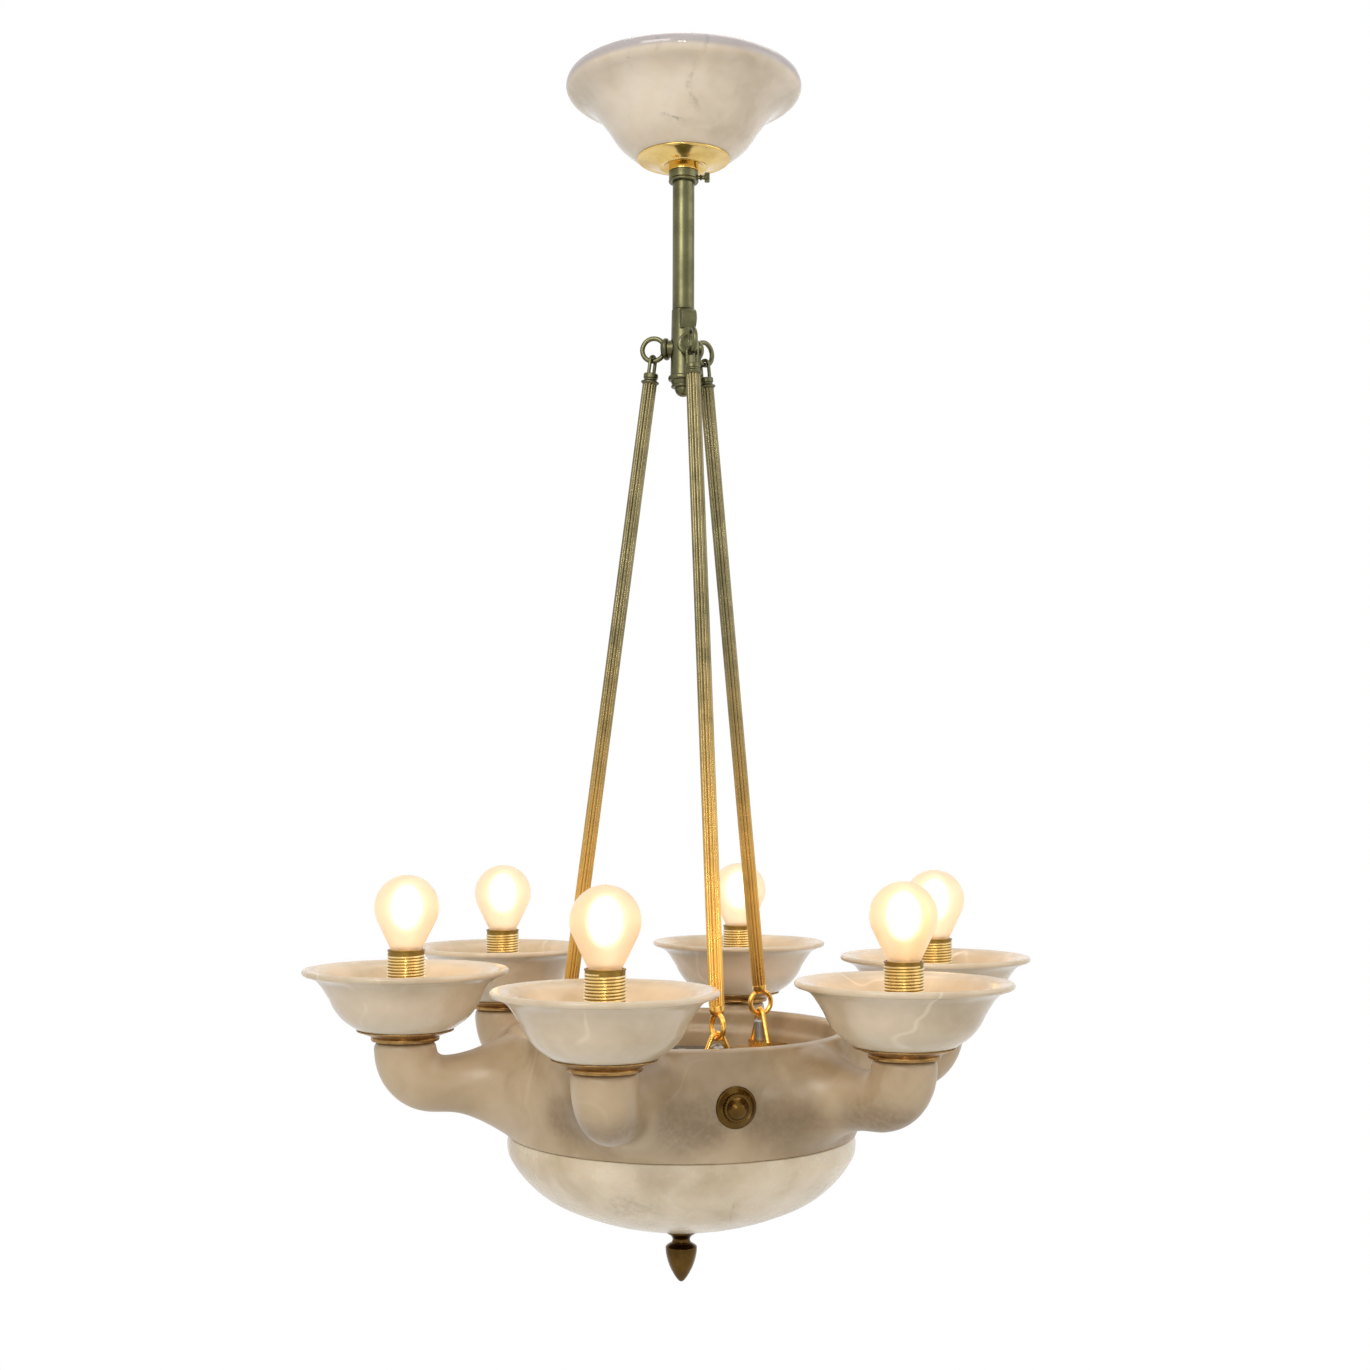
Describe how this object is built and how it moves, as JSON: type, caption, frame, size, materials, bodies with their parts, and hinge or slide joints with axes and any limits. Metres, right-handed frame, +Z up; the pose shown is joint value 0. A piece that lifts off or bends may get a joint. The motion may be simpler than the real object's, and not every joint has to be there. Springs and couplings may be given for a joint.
{
  "type": "alabaster bowl pendant",
  "caption": "Hanging lamp with a veined alabaster bowl, carved arms that end in open cups with bulbs, reeded bronze rods, a turned hub and an alabaster ceiling canopy.",
  "frame": {"origin": "middle of the ceiling bracket's screw pattern, on the ceiling plane", "axes": "+Z up along the stem towards the ceiling, -Y through the front rod and front rosette, +X to the right along the ceiling bracket"},
  "size_m": [0.5598, 0.5046, 0.914],
  "materials": {
    "alabaster": "polished, faintly veined",
    "aged_bronze": "olive bronze patina, waxed",
    "polished_brass": "lacquered, lightly aged",
    "zinc_steel": "zinc plated",
    "dark_plate": "dark lacquer",
    "frosted_glass": "frosted",
    "bulb_cap_metal": "pressed sheet"
  },
  "bodies": {
    "stem": {"ceiling_bracket": "zinc_steel", "stem_nut": "zinc_steel", "stem_tube": "aged_bronze", "hub_body": "aged_bronze", "hub_cap": "aged_bronze", "hub_eye_1": "aged_bronze", "hub_eye_2": "aged_bronze", "hub_eye_3": "aged_bronze"},
    "canopy": {"canopy_bowl": "alabaster", "canopy_dish": "polished_brass", "canopy_ring_nut": "zinc_steel", "canopy_collar": "polished_brass"},
    "thumbscrew": {"canopy_thumbscrew": "polished_brass"},
    "rod_1": {"rod_loop_1": "aged_bronze", "rod_tube_1": "aged_bronze", "rod_ring_1": "aged_bronze"},
    "rod_2": {"rod_loop_2": "aged_bronze", "rod_tube_2": "aged_bronze", "rod_ring_2": "aged_bronze"},
    "rod_3": {"rod_loop_3": "aged_bronze", "rod_tube_3": "aged_bronze", "rod_ring_3": "aged_bronze"},
    "bowl": {"hanger_bails": "polished_brass", "hanger_brackets": "polished_brass", "hanger_nuts": "zinc_steel", "rosettes": "aged_bronze", "bowl_drum": "alabaster", "bowl_arm_1": "alabaster", "bowl_arm_2": "alabaster", "bowl_arm_3": "alabaster", "bowl_arm_4": "alabaster", "bowl_arm_5": "alabaster", "bowl_arm_6": "alabaster", "cup_1": "alabaster", "cup_2": "alabaster", "cup_3": "alabaster", "cup_4": "alabaster", "cup_5": "alabaster", "cup_6": "alabaster", "cup_plates": "polished_brass", "lampholders": "polished_brass", "socket_tubes": "zinc_steel", "bowl_dome": "alabaster", "dome_disc": "aged_bronze", "inner_plate": "dark_plate", "centre_rod": "zinc_steel", "centre_nut": "zinc_steel"},
    "bulb_1": {"bulb_globe_1": "frosted_glass", "bulb_cap_1": "bulb_cap_metal"},
    "bulb_2": {"bulb_globe_2": "frosted_glass", "bulb_cap_2": "bulb_cap_metal"},
    "bulb_3": {"bulb_globe_3": "frosted_glass", "bulb_cap_3": "bulb_cap_metal"},
    "bulb_4": {"bulb_globe_4": "frosted_glass", "bulb_cap_4": "bulb_cap_metal"},
    "bulb_5": {"bulb_globe_5": "frosted_glass", "bulb_cap_5": "bulb_cap_metal"},
    "bulb_6": {"bulb_globe_6": "frosted_glass", "bulb_cap_6": "bulb_cap_metal"},
    "finial": {"finial": "aged_bronze"}
  },
  "joints": [
    {"name": "canopy_slide", "type": "slide", "parent": "stem", "child": "canopy", "axis": [0, 0, -1], "range_m": [0, 0.095]},
    {"name": "thumbscrew_turn", "type": "hinge", "parent": "canopy", "child": "thumbscrew", "pos_m": [0.0192, -0.00561, -0.0778], "axis": [0.9598, -0.2807, 0], "range_deg": [0, 720]},
    {"name": "bowl_twist", "type": "hinge", "parent": "stem", "child": "bowl", "pos_m": [0, 0, -0.76], "axis": [0, 0, 1], "range_deg": [-6, 6], "stiffness_Nm_per_rad": 0.5},
    {"name": "rod_swing_1", "type": "hinge", "parent": "stem", "child": "rod_1", "pos_m": [0, -0.0236, -0.2204], "axis": [0, -1, 0], "range_deg": [-1.1, 1.1]},
    {"name": "rod_swing_2", "type": "hinge", "parent": "stem", "child": "rod_2", "pos_m": [0.02044, 0.0118, -0.2204], "axis": [0.866, 0.5, 0], "range_deg": [-1.1, 1.1]},
    {"name": "rod_swing_3", "type": "hinge", "parent": "stem", "child": "rod_3", "pos_m": [-0.02044, 0.0118, -0.2204], "axis": [-0.866, 0.5, 0], "range_deg": [-1.1, 1.1]},
    {"name": "bulb_turn_1", "type": "hinge", "parent": "bowl", "child": "bulb_1", "pos_m": [0.1031, -0.17857, -0.665], "axis": [0, 0, 1], "range_deg": [0, 720]},
    {"name": "bulb_turn_2", "type": "hinge", "parent": "bowl", "child": "bulb_2", "pos_m": [0.2062, 0, -0.665], "axis": [0, 0, 1], "range_deg": [0, 720]},
    {"name": "bulb_turn_3", "type": "hinge", "parent": "bowl", "child": "bulb_3", "pos_m": [0.1031, 0.17857, -0.665], "axis": [0, 0, 1], "range_deg": [0, 720]},
    {"name": "bulb_turn_4", "type": "hinge", "parent": "bowl", "child": "bulb_4", "pos_m": [-0.1031, 0.17857, -0.665], "axis": [0, 0, 1], "range_deg": [0, 720]},
    {"name": "bulb_turn_5", "type": "hinge", "parent": "bowl", "child": "bulb_5", "pos_m": [-0.2062, 0, -0.665], "axis": [0, 0, 1], "range_deg": [0, 720]},
    {"name": "bulb_turn_6", "type": "hinge", "parent": "bowl", "child": "bulb_6", "pos_m": [-0.1031, -0.17857, -0.665], "axis": [0, 0, 1], "range_deg": [0, 720]},
    {"name": "finial_turn", "type": "hinge", "parent": "bowl", "child": "finial", "pos_m": [0, 0, -0.88], "axis": [0, 0, -1], "range_deg": [0, 720]}
  ],
  "couplings": [
    {"joint": "rod_swing_1", "follows": "bowl_twist", "ratio": 0.1781},
    {"joint": "rod_swing_2", "follows": "bowl_twist", "ratio": 0.1781},
    {"joint": "rod_swing_3", "follows": "bowl_twist", "ratio": 0.1781}
  ]
}
